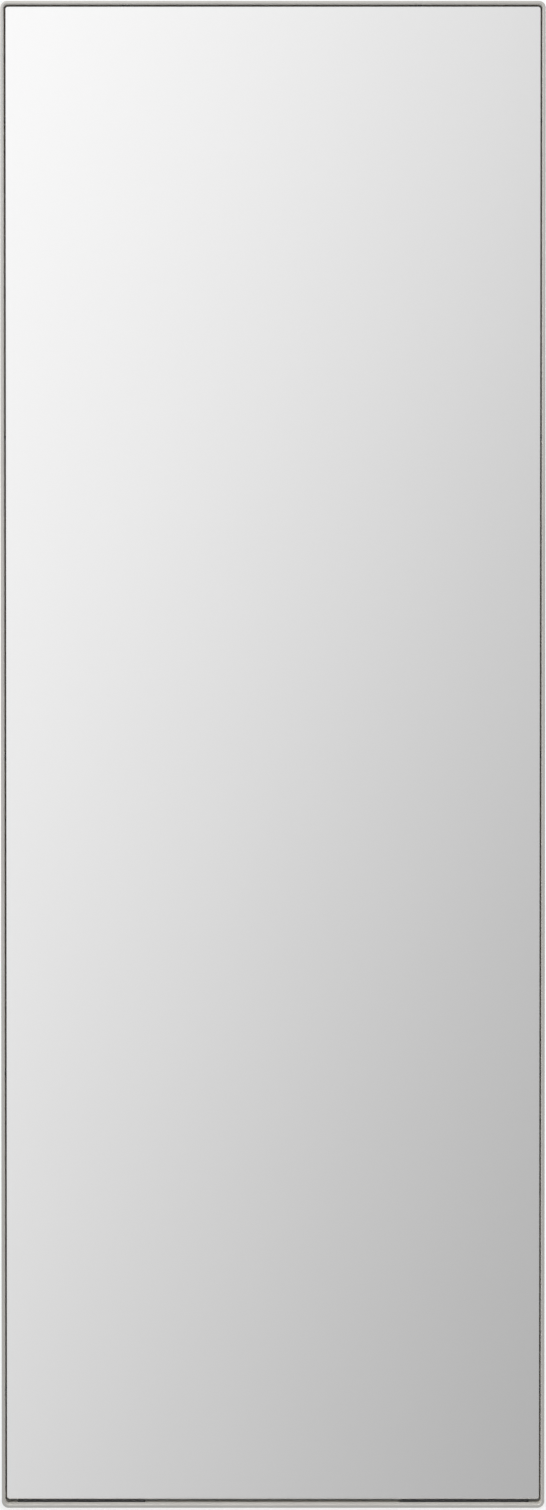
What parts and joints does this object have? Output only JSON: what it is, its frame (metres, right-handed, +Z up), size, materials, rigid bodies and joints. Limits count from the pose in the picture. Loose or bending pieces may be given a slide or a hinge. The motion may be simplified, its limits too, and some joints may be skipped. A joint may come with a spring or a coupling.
{
  "type": "full-length wall mirror",
  "caption": "Tall rectangular wall mirror: silvered glass set back in a slim brushed steel frame with rounded corners, on a backing board with swinging D-ring hangers and rubber bumpers.",
  "frame": {"origin": "middle of the wall plane that the rear faces of the four rubber bumpers lie in", "axes": "+Z up along the long side, -Y out of the front of the glass, +Y towards the wall, +X to the right as seen from the front"},
  "size_m": [0.5588, 0.0315, 1.5494],
  "materials": {
    "frame_steel": "brushed nickel",
    "mirror": "silvered, polished",
    "film": "thin vinyl film",
    "foam": "closed-cell foam tape",
    "board": "fibreboard, rolled matt black",
    "rubber": "moulded matt",
    "zinc_steel": "bright zinc plate"
  },
  "bodies": {
    "mirror": {"backing_board": "board", "bumper_screws": "zinc_steel", "edge_spacers_left": "rubber", "edge_spacers_right": "rubber", "edge_spacers_top": "rubber", "foam_tape_1": "foam", "foam_tape_2": "foam", "foam_tape_3": "foam", "foam_tape_4": "foam", "frame_band": "frame_steel", "hanger_screws": "zinc_steel", "hanger_strap_sideways_lower": "zinc_steel", "hanger_strap_sideways_upper": "zinc_steel", "hanger_strap_upright_left": "zinc_steel", "hanger_strap_upright_right": "zinc_steel", "mirror_glass": "mirror", "safety_film": "film", "setting_blocks": "rubber", "tab_bottom_left": "frame_steel", "tab_bottom_right": "frame_steel", "tab_left_1": "frame_steel", "tab_left_2": "frame_steel", "tab_left_3": "frame_steel", "tab_left_4": "frame_steel", "tab_right_1": "frame_steel", "tab_right_2": "frame_steel", "tab_right_3": "frame_steel", "tab_right_4": "frame_steel", "tab_screws": "zinc_steel", "tab_top_left": "frame_steel", "tab_top_right": "frame_steel", "wall_bumper_lower_left": "rubber", "wall_bumper_lower_right": "rubber", "wall_bumper_upper_left": "rubber", "wall_bumper_upper_right": "rubber"},
    "ring_upright_left": {"d_ring_upright_left": "zinc_steel"},
    "ring_upright_right": {"d_ring_upright_right": "zinc_steel"},
    "ring_sideways_upper": {"d_ring_sideways_upper": "zinc_steel"},
    "ring_sideways_lower": {"d_ring_sideways_lower": "zinc_steel"}
  },
  "joints": [
    {"name": "ring_upright_left_swing", "type": "hinge", "parent": "mirror", "child": "ring_upright_left", "pos_m": [-0.2012, -0.00587, 0.4815], "axis": [1, 0, 0], "range_deg": [0, 180]},
    {"name": "ring_upright_right_swing", "type": "hinge", "parent": "mirror", "child": "ring_upright_right", "pos_m": [0.2012, -0.00587, 0.4815], "axis": [1, 0, 0], "range_deg": [0, 180]},
    {"name": "ring_sideways_upper_swing", "type": "hinge", "parent": "mirror", "child": "ring_sideways_upper", "pos_m": [0.2212, -0.00587, 0.38], "axis": [0, 0, -1], "range_deg": [0, 180]},
    {"name": "ring_sideways_lower_swing", "type": "hinge", "parent": "mirror", "child": "ring_sideways_lower", "pos_m": [0.2212, -0.00587, -0.38], "axis": [0, 0, -1], "range_deg": [0, 180]}
  ]
}
